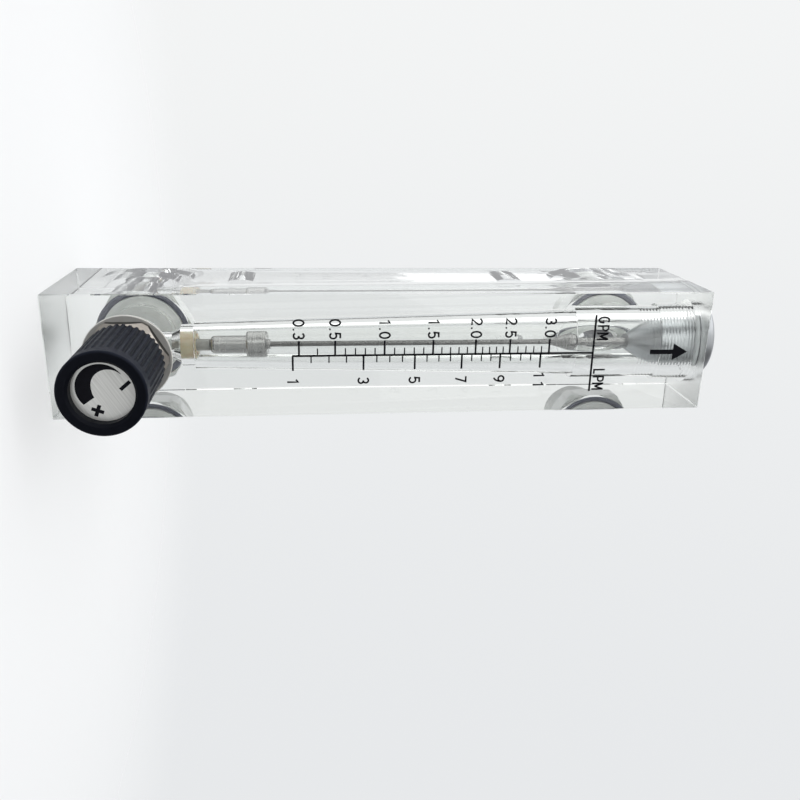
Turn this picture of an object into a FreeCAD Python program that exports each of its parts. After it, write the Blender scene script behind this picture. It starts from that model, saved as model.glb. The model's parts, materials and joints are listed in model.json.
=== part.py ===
import FreeCAD, Part
import math
import os
import re

import Sketcher

# Acrylic panel flow meter (rotameter) with a needle valve, in millimetres.
# Frame: the meter stands on its inlet end. +Z is the flow direction through the tapered tube,
# the scale and the valve face -Y, the two pipe fittings leave the back towards +Y.
# The origin is the centre of the body's bottom end face, under the axis of the tube.

DIMENSIONS = {
    # body: one clear block, its tube along Z and its two ports across Y
    "body_width": 36.0,
    "body_depth": 38.0,
    "body_length": 190.0,
    "body_edge_chamfer": 0.3,
    "inlet_height": 22.0,
    "outlet_from_top": 24.0,
    "port_radius": 7.0,
    "mounting_hole_spacing": 86.0,
    "mounting_hole_radius": 4.0,
    "mounting_hole_depth": 6.5,
    # clearances
    "slip_gap": 0.05,
    "running_gap": 0.06,
    "rest_gap": 0.3,
    # flow passage, from the valve up to the plug
    "feed_hole_radius": 4.0,
    "feed_rise": 13.1,
    "feed_flare_length": 2.6,
    "feed_flare_radius": 5.5,
    "tube_bottom_radius": 7.15,
    "tube_top_radius": 10.25,
    "tube_end_below_outlet": 14.0,
    "chamber_step": 1.0,
    "plug_thread_step": 0.6,
    "plug_thread_length": 12.0,
    # rod holder, stops and guide rod
    "holder_ledge": 0.7,
    "holder_thickness": 3.8,
    "holder_port_radius": 1.0,
    "holder_port_circle": 4.3,
    "holder_port_count": 6,
    "lower_stop_radius": 2.6,
    "lower_stop_length": 3.9,
    "rod_radius": 1.2,
    "upper_stop_radius": 3.9,
    "upper_stop_nose": 5.5,
    "upper_stop_dome": 3.0,
    "sleeve_radius": 1.95,
    # float
    "float_shank_radius": 4.0,
    "float_shank_length": 10.6,
    "float_shank_rounding": 1.4,
    "float_head_radius": 5.9,
    "float_head_length": 6.0,
    "float_head_chamfer": 0.5,
    "float_boss_radius": 2.2,
    "float_boss_length": 0.8,
    # top plug
    "plug_head_radius": 12.9,
    "plug_head_length": 5.8,
    "plug_head_rounding": 1.0,
    "plug_nose_length": 7.0,
    "plug_nose_radius": 3.6,
    "plug_slot_width": 2.2,
    "plug_slot_depth": 2.4,
    "plug_seal_section": 0.87,
    # pipe fittings
    "fitting_shank_radius": 9.95,
    "fitting_shank_length": 7.5,
    "fitting_hub_radius": 12.2,
    "fitting_bore_radius": 6.0,
    "fitting_hex_flats": 28.0,
    "fitting_hex_corner_radius": 15.8,
    "fitting_hex_length": 6.0,
    "fitting_relief_length": 1.5,
    "fitting_relief_radius": 9.2,
    "pipe_thread_radius": 10.48,
    "pipe_thread_length": 14.0,
    "pipe_thread_chamfer": 1.0,
    "fitting_seal_section": 0.9,
    "fitting_seal_depth": 3.0,
    # valve seat
    "seat_offset": 5.0,
    "seat_outer_radius": 6.5,
    "seat_bore_radius": 3.5,
    "seat_orifice_radius": 5.9,
    "seat_thickness": 2.5,
    # valve bonnet
    "valve_cavity_radius": 7.0,
    "bonnet_thread_radius": 8.95,
    "bonnet_thread_length": 12.0,
    "bonnet_seal_section": 0.71,
    "bonnet_seal_depth": 1.6,
    "bonnet_washer_radius": 12.3,
    "bonnet_washer_thickness": 0.8,
    "bonnet_hex_flats": 21.0,
    "bonnet_corner_radius": 11.6,
    "bonnet_face_radius": 9.4,
    "bonnet_hex_length": 3.6,
    "bonnet_hex_chamfer": 2.2,
    "bonnet_neck_radius": 6.5,
    "bonnet_neck_length": 8.6,
    "gland_radius": 5.2,
    "packing_length": 3.0,
    "gland_nut_length": 3.0,
    # valve stem
    "valve_lift": 3.75,
    "stem_radius": 3.0,
    "stem_screw_radius": 4.0,
    "stem_screw_length": 7.8,
    "stem_collar_radius": 5.6,
    "stem_collar_length": 1.8,
    "stem_end_gap": 0.45,
    "stem_land_length": 1.0,
    "stem_seal_section": 0.67,
    "stem_flat": 2.2,
    "needle_radius": 4.2,
    "needle_tip_radius": 1.6,
    "needle_length": 5.0,
    "needle_reach": 3.0,
    # knob
    "knob_radius": 11.0,
    "knob_length": 25.0,
    "knob_gap": 0.6,
    "knob_hollow_radius": 8.2,
    "knob_hollow_gap": 3.0,
    "knob_drive_length": 6.0,
    "knob_web": 1.8,
    "knob_rim_depth": 2.8,
    "knob_rim_chamfer": 0.7,
    "knob_rim_rounding": 0.7,
    "knob_band_length": 3.4,
    "flute_count": 38,
    "flute_radius": 0.55,
    "flute_sink": 0.12,
    "cap_radius": 7.9,
    "cap_thickness": 0.6,
    "knob_screw_radius": 1.5,
    "knob_screw_head_radius": 3.0,
    "knob_screw_head_length": 2.0,
    "knob_screw_length": 8.0,
}

# Heights that follow from the sizes above, along Z of the whole meter.
OUTLET_HEIGHT = "(body_length - outlet_from_top)"
TUBE_START = "(inlet_height + feed_rise)"
HOLDER_TOP = f"({TUBE_START} + holder_thickness)"
TUBE_TOP = f"({OUTLET_HEIGHT} - tube_end_below_outlet)"
THREAD_START = "(body_length - plug_thread_length)"
LOWER_STOP_TOP = f"({HOLDER_TOP} + lower_stop_length)"
FLOAT_BOTTOM = f"({LOWER_STOP_TOP} + rest_gap)"
UPPER_STOP_TIP = f"({TUBE_TOP} - upper_stop_nose)"
SLEEVE_START = f"({TUBE_TOP} + upper_stop_dome)"
PLUG_NOSE_END = f"({THREAD_START} - plug_nose_length)"
PLUG_SEAL_DEPTH = "(2 * plug_seal_section + 2 * slip_gap)"

# Radii that follow one another, so that each piece fits the bore it goes into.
HOLDER_RADIUS = "(feed_flare_radius + holder_ledge)"
CHAMBER_RADIUS = "(tube_top_radius + chamber_step)"
PLUG_BORE_RADIUS = f"({CHAMBER_RADIUS} + plug_thread_step)"
PLUG_NECK_RADIUS = f"({PLUG_BORE_RADIUS} - slip_gap - plug_thread_step)"
PLUG_SEAL_OUTER = f"({PLUG_NECK_RADIUS} + 2 * plug_seal_section + 2 * slip_gap)"
FITTING_SEAL_OUTER = "(fitting_hub_radius + 2 * fitting_seal_section + 2 * slip_gap)"
BONNET_SEAL_OUTER = "(bonnet_thread_radius + 2 * bonnet_seal_section + 2 * slip_gap)"

# Distances along a valve part's own axis, outward from the front face of the body.
HEX_TOP = "(bonnet_washer_thickness + bonnet_hex_length)"
NECK_TOP = f"({HEX_TOP} + bonnet_neck_length)"
GLAND_NUT_BOTTOM = f"({NECK_TOP} - gland_nut_length)"
PACKING_BOTTOM = f"({GLAND_NUT_BOTTOM} - packing_length)"
SCREW_BORE_TOP = f"({PACKING_BOTTOM} - packing_length - 1)"
LAND_TOP = f"({SCREW_BORE_TOP} - valve_lift - stem_end_gap)"
LAND_BOTTOM = f"({LAND_TOP} - stem_land_length)"
SEAL_GROOVE_BOTTOM = f"({LAND_BOTTOM} - 2 * stem_seal_section - 4 * running_gap)"
SCREW_BOTTOM = f"({SEAL_GROOVE_BOTTOM} - stem_screw_length)"
COLLAR_TOP = "(-bonnet_thread_length - valve_lift - stem_end_gap)"
COLLAR_BOTTOM = f"({COLLAR_TOP} - stem_collar_length)"
SEAT_FACE = "(-body_depth / 2 - seat_offset)"
NEEDLE_TIP = f"({SEAT_FACE} - needle_reach)"
NEEDLE_TOP = f"({NEEDLE_TIP} + needle_length)"
KNOB_REAR = f"({HEX_TOP} + knob_gap)"
KNOB_FRONT = f"({KNOB_REAR} + knob_length)"
HOLLOW_FLOOR = f"({NECK_TOP} + knob_hollow_gap)"
DRIVE_TOP = f"({HOLLOW_FLOOR} + knob_drive_length)"
SCREW_SEAT = f"({DRIVE_TOP} + knob_web)"
CAP_FLOOR = f"({KNOB_FRONT} - knob_rim_depth - cap_thickness)"
FLUTE_END = f"({KNOB_FRONT} - knob_band_length)"
SEAL_GROOVE_RADIUS = "(stem_screw_radius - 2 * stem_seal_section - running_gap)"

# Half the side of an octagon around a circle of radius 1.
SEAL_FLAT = math.tan(math.radians(22.5))

doc = FreeCAD.newDocument("Rotameter")
sheet = doc.addObject("Spreadsheet::Sheet", "Sizes")
for row, (alias, number) in enumerate(DIMENSIONS.items(), start=1):
    sheet.set(f"A{row}", alias.replace("_", " "))
    sheet.set(f"B{row}", str(number))
    sheet.setAlias(f"B{row}", alias)
doc.recompute()


def bound(text):
    """The expression with each size's alias pointing at the sheet."""
    return re.sub(r"[a-z_]+", lambda word: f"Sizes.{word.group()}", text)


def value(text):
    """The expression's number now."""
    return float(sheet.evalExpression(bound(text)))


def new_body(name):
    """An empty PartDesign body whose label names its file."""
    body = doc.addObject("PartDesign::Body", name)
    body.Label = name
    return body


def stand(body, depth, height, angle=0.0):
    """Put a body's own axis at a depth and height of the meter, tilted about X by the angle."""
    turn = FreeCAD.Rotation(FreeCAD.Vector(1, 0, 0), angle)
    body.Placement = FreeCAD.Placement(FreeCAD.Vector(0, value(depth), value(height)), turn)
    body.setExpression("Placement.Base.y", bound(depth))
    body.setExpression("Placement.Base.z", bound(height))
    return body


def on_valve_axis(body):
    """Valve parts are modelled outward from the body's front face."""
    return stand(body, "-body_depth / 2", "inlet_height", 90)


def on_port(body, height):
    """Fittings are modelled outward from the body's back face."""
    return stand(body, "body_depth / 2", height, -90)


def new_sketch(body, name, role, offset=None):
    """A sketch on one of the body's own origin planes, moved along its normal if asked."""
    sketch = body.newObject("Sketcher::SketchObject", name)
    plane = [item for item in body.Origin.OriginFeatures if item.Role == role][0]
    sketch.AttachmentSupport = [(plane, "")]
    sketch.MapMode = "FlatFace"
    if offset:
        sketch.AttachmentOffset = FreeCAD.Placement(
            FreeCAD.Vector(0, 0, value(offset)), FreeCAD.Rotation())
        sketch.setExpression("AttachmentOffset.Base.z", bound(offset))
    return sketch


def pin(sketch, kind, geometry, point, text):
    """Bind one coordinate of a point of the sketch to an expression."""
    number = sketch.addConstraint(
        Sketcher.Constraint(kind, -1, 1, geometry, point, value(text)))
    sketch.setExpression(f"Constraints[{number}]", bound(text))


def outline(sketch, corners):
    """A closed outline of straight lines through (across, up) pairs of expressions."""
    points = [FreeCAD.Vector(value(across), value(up), 0) for across, up in corners]
    first = sketch.GeometryCount
    count = len(corners)
    for index, point in enumerate(points):
        sketch.addGeometry(Part.LineSegment(point, points[(index + 1) % count]), False)
    for index, (across, up) in enumerate(corners):
        line = first + index
        following = first + (index + 1) % count
        sketch.addConstraint(Sketcher.Constraint("Coincident", line, 2, following, 1))
        pin(sketch, "DistanceX", line, 1, across)
        pin(sketch, "DistanceY", line, 1, up)
    return sketch


def circle(sketch, across, up, radius):
    """A full circle whose centre and radius are expressions."""
    centre = FreeCAD.Vector(value(across), value(up), 0)
    number = sketch.addGeometry(
        Part.Circle(centre, FreeCAD.Vector(0, 0, 1), value(radius)), False)
    pin(sketch, "DistanceX", number, 3, across)
    pin(sketch, "DistanceY", number, 3, up)
    size = sketch.addConstraint(Sketcher.Constraint("Radius", number, value(radius)))
    sketch.setExpression(f"Constraints[{size}]", bound(radius))
    return sketch


def axis_line(sketch, height):
    """A construction line along the sketch's first axis, at a height."""
    level = value(height)
    line = sketch.addGeometry(
        Part.LineSegment(FreeCAD.Vector(-1, level, 0), FreeCAD.Vector(1, level, 0)), True)
    for point in (1, 2):
        pin(sketch, "DistanceY", line, point, height)
        pin(sketch, "DistanceX", line, point, str(2 * point - 3))
    return (sketch, ["Axis0"])


def feature(body, kind, name, profile, **settings):
    """A PartDesign feature made from a profile sketch."""
    made = body.newObject(f"PartDesign::{kind}", name)
    made.Profile = profile
    for key, setting in settings.items():
        setattr(made, key, setting)
    doc.recompute()
    return made


def turned(name, corners):
    """A body turned about its own Z from a half profile of (radius, height) pairs."""
    body = new_body(name)
    profile = outline(new_sketch(body, name + "_profile", "XZ_Plane"), corners)
    feature(body, "Revolution", name + "_turning", profile,
            ReferenceAxis=(profile, ["V_Axis"]), Angle=360)
    return body


def cut(body, kind, name, profile, **settings):
    """A Pocket or Groove that must take material away."""
    before = body.Shape.Volume
    made = feature(body, kind, name, profile, **settings)
    if body.Shape.Volume >= before - 1e-6:
        raise RuntimeError(f"{name} cuts nothing")
    return made


def around(body, name, original, count):
    """Repeat a feature about the body's own Z; the count is a number or a size's alias."""
    pattern = body.newObject("PartDesign::PolarPattern", name)
    pattern.Originals = [original]
    pattern.Axis = (original.Profile[0], ["N_Axis"])
    pattern.Angle = 360
    pattern.Occurrences = round(value(count))
    pattern.setExpression("Occurrences", bound(count))
    body.Tip = pattern
    doc.recompute()
    return pattern


def dress(body, kind, name, edges, size):
    """Round or bevel edges of the body's last feature by a size of the sheet."""
    made = body.newObject(f"PartDesign::{kind}", name)
    made.Base = (body.Tip if body.Tip != made else made.BaseFeature, edges)
    sizing = "Radius" if kind == "Fillet" else "Size"
    setattr(made, sizing, value(size))
    made.setExpression(sizing, bound(size))
    doc.recompute()
    return made


def rims(shape, radius, height):
    """Names of the shape's round edges about Z with this radius at this height."""
    found = []
    for number, edge in enumerate(shape.Edges, start=1):
        box = edge.BoundBox
        level = abs(box.ZMin - value(height)) < 1e-4 and abs(box.ZMax - value(height)) < 1e-4
        if level and isinstance(edge.Curve, Part.Circle):
            if abs(edge.Curve.Radius - value(radius)) < 1e-4:
                found.append(f"Edge{number}")
    return found


def ring(name, inner, section, depth, height, tilt):
    """A squeezed round seal: its section is an octagon around a circle of that radius."""
    near, far = f"({1 - SEAL_FLAT:.4f} * {section})", f"({1 + SEAL_FLAT:.4f} * {section})"
    flat = f"{SEAL_FLAT:.4f} * {section}"
    body = turned(name, [
        (f"{inner} + {near}", f"-{section}"),
        (f"{inner} + {far}", f"-{section}"),
        (f"{inner} + 2 * {section}", f"-{flat}"),
        (f"{inner} + 2 * {section}", flat),
        (f"{inner} + {far}", section),
        (f"{inner} + {near}", section),
        (inner, flat),
        (inner, f"-{flat}"),
    ])
    return stand(body, depth, height, tilt)


def hexagon(body, name, flats, corner, bottom, length):
    """Six flats cut on a round collar between two heights of the body's own axis."""
    sketch = new_sketch(body, name + "_side", "XY_Plane", bottom)
    outline(sketch, [
        (f"{flats} / 2", f"-{corner}"),
        (f"{corner} + 1", f"-{corner}"),
        (f"{corner} + 1", f"{corner}"),
        (f"{flats} / 2", f"{corner}"),
    ])
    side = cut(body, "Pocket", name + "_flat", sketch, Reversed=True)
    side.setExpression("Length", bound(length))
    return around(body, name + "_flats", side, "6")


def sleeve(name, inner, outer, bottom, top):
    """A plain ring between two radii and two heights."""
    return turned(name, [(inner, bottom), (outer, bottom), (outer, top), (inner, top)])


def make_body_block():
    """The clear block with its tapered tube, valve bore, outlet bore and mounting holes."""
    body = new_body("body_block")
    section = outline(new_sketch(body, "block_section", "XY_Plane"), [
        ("-body_width / 2", "-body_depth / 2"),
        ("body_width / 2", "-body_depth / 2"),
        ("body_width / 2", "body_depth / 2"),
        ("-body_width / 2", "body_depth / 2"),
    ])
    block = feature(body, "Pad", "block", section)
    block.setExpression("Length", bound("body_length"))
    doc.recompute()
    every_edge = [f"Edge{number}" for number in range(1, len(block.Shape.Edges) + 1)]
    dress(body, "Chamfer", "block_edges", every_edge, "body_edge_chamfer")

    plug_seal_floor = f"body_length - {PLUG_SEAL_DEPTH}"
    passage = outline(new_sketch(body, "tube_profile", "XZ_Plane"), [
        ("0", "inlet_height"),
        ("feed_hole_radius", "inlet_height"),
        ("feed_hole_radius", f"{TUBE_START} - feed_flare_length"),
        ("feed_flare_radius", TUBE_START),
        (f"{HOLDER_RADIUS} + slip_gap", TUBE_START),
        (f"{HOLDER_RADIUS} + slip_gap", HOLDER_TOP),
        ("tube_bottom_radius", HOLDER_TOP),
        ("tube_top_radius", TUBE_TOP),
        (CHAMBER_RADIUS, TUBE_TOP),
        (CHAMBER_RADIUS, THREAD_START),
        (PLUG_BORE_RADIUS, THREAD_START),
        (PLUG_BORE_RADIUS, plug_seal_floor),
        (PLUG_SEAL_OUTER, plug_seal_floor),
        (PLUG_SEAL_OUTER, "body_length"),
        ("0", "body_length"),
    ])
    cut(body, "Groove", "tapered_tube", passage, ReferenceAxis=(passage, ["V_Axis"]), Angle=360)

    valve = new_sketch(body, "valve_bore_profile", "YZ_Plane")
    front, back = "-body_depth / 2", "body_depth / 2"
    steps = [
        (f"{BONNET_SEAL_OUTER}", front, f"{front} + bonnet_seal_depth"),
        ("bonnet_thread_radius + slip_gap", f"{front} + bonnet_seal_depth",
         f"{front} + bonnet_thread_length"),
        ("valve_cavity_radius", f"{front} + bonnet_thread_length", "seat_offset"),
        ("seat_outer_radius + slip_gap", "seat_offset", "seat_offset + seat_thickness"),
        ("seat_orifice_radius", "seat_offset + seat_thickness",
         f"{back} - fitting_shank_length"),
        ("fitting_shank_radius + slip_gap", f"{back} - fitting_shank_length",
         f"{back} - fitting_seal_depth"),
        (f"{FITTING_SEAL_OUTER}", f"{back} - fitting_seal_depth", back),
    ]
    stepped_bore(body, "valve_bore", valve, "inlet_height", steps)

    outlet = new_sketch(body, "outlet_bore_profile", "YZ_Plane")
    steps = [
        ("port_radius", "0", f"{back} - fitting_shank_length"),
        ("fitting_shank_radius + slip_gap", f"{back} - fitting_shank_length",
         f"{back} - fitting_seal_depth"),
        (f"{FITTING_SEAL_OUTER}", f"{back} - fitting_seal_depth", back),
    ]
    stepped_bore(body, "outlet_bore", outlet, OUTLET_HEIGHT, steps)

    holes = new_sketch(body, "mounting_hole_centres", "XZ_Plane", "-body_depth / 2")
    middle = f"(inlet_height + {OUTLET_HEIGHT}) / 2"
    circle(holes, "0", f"{middle} - mounting_hole_spacing / 2", "mounting_hole_radius")
    circle(holes, "0", f"{middle} + mounting_hole_spacing / 2", "mounting_hole_radius")
    drilled = cut(body, "Pocket", "mounting_holes", holes, Reversed=True)
    drilled.setExpression("Length", bound("mounting_hole_depth"))
    return body


def stepped_bore(body, name, sketch, height, steps):
    """A bore across the body at a height, from (radius, start, end) steps along Y."""
    corners = [(steps[0][1], height)]
    for radius, start, end in steps:
        corners.append((start, f"{height} + {radius}"))
        corners.append((end, f"{height} + {radius}"))
    corners.append((steps[-1][2], height))
    axis = axis_line(sketch, height)
    outline(sketch, corners)
    cut(body, "Groove", name, sketch, ReferenceAxis=axis, Angle=360)


def make_fitting(name, height):
    """A white pipe fitting: screwed shank, sealed hub, hexagon and male pipe thread."""
    hex_top = "fitting_hex_length"
    thread_start = f"({hex_top} + fitting_relief_length)"
    end = f"({thread_start} + pipe_thread_length)"
    body = turned(name, [
        ("fitting_bore_radius", "-fitting_shank_length"),
        ("fitting_shank_radius", "-fitting_shank_length"),
        ("fitting_shank_radius", "-fitting_seal_depth + slip_gap"),
        ("fitting_hub_radius", "-fitting_seal_depth + slip_gap"),
        ("fitting_hub_radius", "0"),
        ("fitting_hex_corner_radius", "0"),
        ("fitting_hex_corner_radius", hex_top),
        ("fitting_relief_radius", hex_top),
        ("fitting_relief_radius", thread_start),
        ("pipe_thread_radius", thread_start),
        ("pipe_thread_radius", f"{end} - pipe_thread_chamfer"),
        ("pipe_thread_radius - pipe_thread_chamfer", end),
        ("fitting_bore_radius", end),
    ])
    hexagon(body, name + "_hex", "fitting_hex_flats", "fitting_hex_corner_radius",
            "0", "fitting_hex_length")
    return on_port(body, height)


def make_fitting_seal(name, height):
    """The round seal around a fitting's hub, in the block's back counterbore."""
    return ring(name, "fitting_hub_radius + slip_gap", "fitting_seal_section",
                "body_depth / 2 - fitting_seal_depth / 2", height, 90)


def make_rod_holder():
    """The pale holder of the guide rod: a disc with a ring of flow holes."""
    body = turned("rod_holder", [
        ("rod_radius + slip_gap", "0"),
        (HOLDER_RADIUS, "0"),
        (HOLDER_RADIUS, "holder_thickness"),
        ("rod_radius + slip_gap", "holder_thickness"),
    ])
    hole = circle(new_sketch(body, "flow_hole_centre", "XY_Plane"),
                  "holder_port_circle", "0", "holder_port_radius")
    drilled = cut(body, "Pocket", "flow_hole", hole, Reversed=True)
    drilled.setExpression("Length", bound("holder_thickness"))
    around(body, "flow_holes", drilled, "holder_port_count")
    return stand(body, "0", TUBE_START)


def make_lower_stop():
    """The soft collar on which the float comes to rest."""
    body = sleeve("lower_stop", "rod_radius + slip_gap", "lower_stop_radius",
                  "0", "lower_stop_length")
    return stand(body, "0", HOLDER_TOP)


def make_guide_rod():
    """The thin rod that the float slides on, from the holder into the plug's sleeve."""
    rod = doc.addObject("Part::Cylinder", "guide_rod")
    rod.Label = "guide_rod"
    rod.setExpression("Radius", bound("rod_radius"))
    start = f"({TUBE_START} + slip_gap)"
    rod.setExpression("Height", bound(f"{PLUG_NOSE_END} - {start}"))
    return stand(rod, "0", start)


def make_upper_stop():
    """The bell at the top of the tube: a cone towards the float, a dome towards the plug."""
    body = turned("upper_stop", [
        ("rod_radius + slip_gap", "0"),
        ("rod_radius + 2 * slip_gap", "0"),
        ("upper_stop_radius", "upper_stop_nose"),
        ("upper_stop_radius", "upper_stop_nose + upper_stop_dome"),
        ("rod_radius + slip_gap", "upper_stop_nose + upper_stop_dome"),
    ])
    crown = rims(body.Shape, "upper_stop_radius", "upper_stop_nose + upper_stop_dome")
    rounding = "upper_stop_radius - sleeve_radius - slip_gap"
    dress(body, "Fillet", "upper_stop_crown", crown, rounding)
    return stand(body, "0", UPPER_STOP_TIP)


def make_plug_sleeve():
    """The tube that holds the rod's upper end, between the upper stop and the plug."""
    body = sleeve("plug_sleeve", "rod_radius + slip_gap", "sleeve_radius",
                  SLEEVE_START, PLUG_NOSE_END)
    return stand(body, "0", "0")


def make_float():
    """The steel float: a rounded shank, and the wide head whose edge is read."""
    head_bottom = "float_shank_length"
    head_top = f"({head_bottom} + float_head_length)"
    body = turned("float", [
        ("rod_radius + running_gap", "0"),
        ("float_shank_radius", "0"),
        ("float_shank_radius", head_bottom),
        ("float_head_radius - float_head_chamfer", head_bottom),
        ("float_head_radius", f"{head_bottom} + float_head_chamfer"),
        ("float_head_radius", f"{head_top} - float_head_chamfer"),
        ("float_head_radius - float_head_chamfer", head_top),
        ("float_boss_radius", head_top),
        ("float_boss_radius", f"{head_top} + float_boss_length"),
        ("rod_radius + running_gap", f"{head_top} + float_boss_length"),
    ])
    nose = rims(body.Shape, "float_shank_radius", "0")
    dress(body, "Fillet", "float_nose", nose, "float_shank_rounding")
    return stand(body, "0", FLOAT_BOTTOM)


def make_top_plug():
    """The screwed plug: conical nose, threaded shank, neck for the seal, slotted head."""
    shank = f"({PLUG_BORE_RADIUS} - slip_gap)"
    body = turned("top_plug", [
        ("0", "-plug_thread_length - plug_nose_length"),
        ("plug_nose_radius", "-plug_thread_length - plug_nose_length"),
        (f"{CHAMBER_RADIUS} - slip_gap", "-plug_thread_length"),
        (shank, "-plug_thread_length + slip_gap"),
        (shank, f"-{PLUG_SEAL_DEPTH}"),
        (PLUG_NECK_RADIUS, f"-{PLUG_SEAL_DEPTH}"),
        (PLUG_NECK_RADIUS, "0"),
        ("plug_head_radius", "0"),
        ("plug_head_radius", "plug_head_length"),
        ("0", "plug_head_length"),
    ])
    crown = rims(body.Shape, "plug_head_radius", "plug_head_length")
    dress(body, "Fillet", "plug_crown", crown, "plug_head_rounding")
    slot = outline(new_sketch(body, "plug_slot_outline", "XY_Plane", "plug_head_length"), [
        ("-plug_head_radius", "-plug_slot_width / 2"),
        ("plug_head_radius", "-plug_slot_width / 2"),
        ("plug_head_radius", "plug_slot_width / 2"),
        ("-plug_head_radius", "plug_slot_width / 2"),
    ])
    milled = cut(body, "Pocket", "plug_slot", slot)
    milled.setExpression("Length", bound("plug_slot_depth"))
    return stand(body, "0", "body_length")


def make_plug_seal():
    """The round seal under the plug's head."""
    return ring("plug_seal", f"{PLUG_NECK_RADIUS} + slip_gap", "plug_seal_section",
                "0", f"body_length - {PLUG_SEAL_DEPTH} / 2", 0)


def make_valve_seat():
    """The ring that the needle closes."""
    body = sleeve("valve_seat", "seat_bore_radius", "seat_outer_radius",
                  f"{SEAT_FACE} - seat_thickness", SEAT_FACE)
    return on_valve_axis(body)


def make_bonnet():
    """The plated bonnet: screwed shank, chamfered hexagon, neck with the gland recess."""
    screw_bore = "(stem_screw_radius + running_gap)"
    stem_bore = "(stem_radius + running_gap)"
    recess = "(gland_radius + slip_gap)"
    body = turned("valve_bonnet", [
        (screw_bore, "-bonnet_thread_length"),
        ("bonnet_thread_radius", "-bonnet_thread_length"),
        ("bonnet_thread_radius", "bonnet_washer_thickness"),
        ("bonnet_corner_radius", "bonnet_washer_thickness"),
        ("bonnet_corner_radius", f"{HEX_TOP} - bonnet_hex_chamfer"),
        ("bonnet_face_radius", HEX_TOP),
        ("bonnet_neck_radius", HEX_TOP),
        ("bonnet_neck_radius", NECK_TOP),
        (recess, NECK_TOP),
        (recess, PACKING_BOTTOM),
        (stem_bore, PACKING_BOTTOM),
        (stem_bore, SCREW_BORE_TOP),
        (screw_bore, SCREW_BORE_TOP),
    ])
    hexagon(body, "bonnet_hex", "bonnet_hex_flats", "bonnet_corner_radius",
            "bonnet_washer_thickness", "bonnet_hex_length")
    return on_valve_axis(body)


def make_bonnet_washer():
    """The pale washer between the bonnet's hexagon and the block."""
    body = sleeve("bonnet_washer", "bonnet_thread_radius + slip_gap", "bonnet_washer_radius",
                  "0", "bonnet_washer_thickness")
    return on_valve_axis(body)


def make_bonnet_seal():
    """The round seal in the block's front counterbore."""
    return ring("bonnet_seal", "bonnet_thread_radius + slip_gap", "bonnet_seal_section",
                "-body_depth / 2 + bonnet_seal_depth / 2",
                "inlet_height", 90)


def make_packing():
    """The gland packing around the stem."""
    body = sleeve("gland_packing", "stem_radius + running_gap", "gland_radius",
                  PACKING_BOTTOM, GLAND_NUT_BOTTOM)
    return on_valve_axis(body)


def make_gland_nut():
    """The ring that holds the packing down."""
    body = sleeve("gland_nut", "stem_radius + running_gap", "gland_radius",
                  GLAND_NUT_BOTTOM, NECK_TOP)
    return on_valve_axis(body)


def make_stem_seal():
    """The round seal in the stem's groove, which rises and falls with the stem."""
    return ring("stem_seal", f"{SEAL_GROOVE_RADIUS} + running_gap", "stem_seal_section",
                f"-body_depth / 2 - ({LAND_BOTTOM} + {SEAL_GROOVE_BOTTOM}) / 2",
                "inlet_height", 90)


def make_valve_stem():
    """The stem: needle, stop collar, screw, seal groove, and a flatted end for the knob."""
    end = f"({DRIVE_TOP} - slip_gap)"
    tapped_bottom = f"({SCREW_SEAT} - knob_screw_length - slip_gap)"
    tapped = "(knob_screw_radius + slip_gap)"
    body = turned("valve_stem", [
        ("0", NEEDLE_TIP),
        ("needle_tip_radius", NEEDLE_TIP),
        ("needle_radius", NEEDLE_TOP),
        ("needle_radius", COLLAR_BOTTOM),
        ("stem_collar_radius", COLLAR_BOTTOM),
        ("stem_collar_radius", COLLAR_TOP),
        ("stem_radius", COLLAR_TOP),
        ("stem_radius", SCREW_BOTTOM),
        ("stem_screw_radius", SCREW_BOTTOM),
        ("stem_screw_radius", SEAL_GROOVE_BOTTOM),
        (SEAL_GROOVE_RADIUS, SEAL_GROOVE_BOTTOM),
        (SEAL_GROOVE_RADIUS, LAND_BOTTOM),
        ("stem_screw_radius", LAND_BOTTOM),
        ("stem_screw_radius", LAND_TOP),
        ("stem_radius", LAND_TOP),
        ("stem_radius", end),
        (tapped, end),
        (tapped, tapped_bottom),
        ("0", tapped_bottom),
    ])
    flat = outline(new_sketch(body, "stem_flat_outline", "XY_Plane", end), [
        ("stem_flat", "-stem_radius"),
        ("stem_radius + 1", "-stem_radius"),
        ("stem_radius + 1", "stem_radius"),
        ("stem_flat", "stem_radius"),
    ])
    flatted = cut(body, "Pocket", "stem_flatting", flat)
    flatted.setExpression("Length", bound("knob_drive_length"))
    return on_valve_axis(body)


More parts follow.
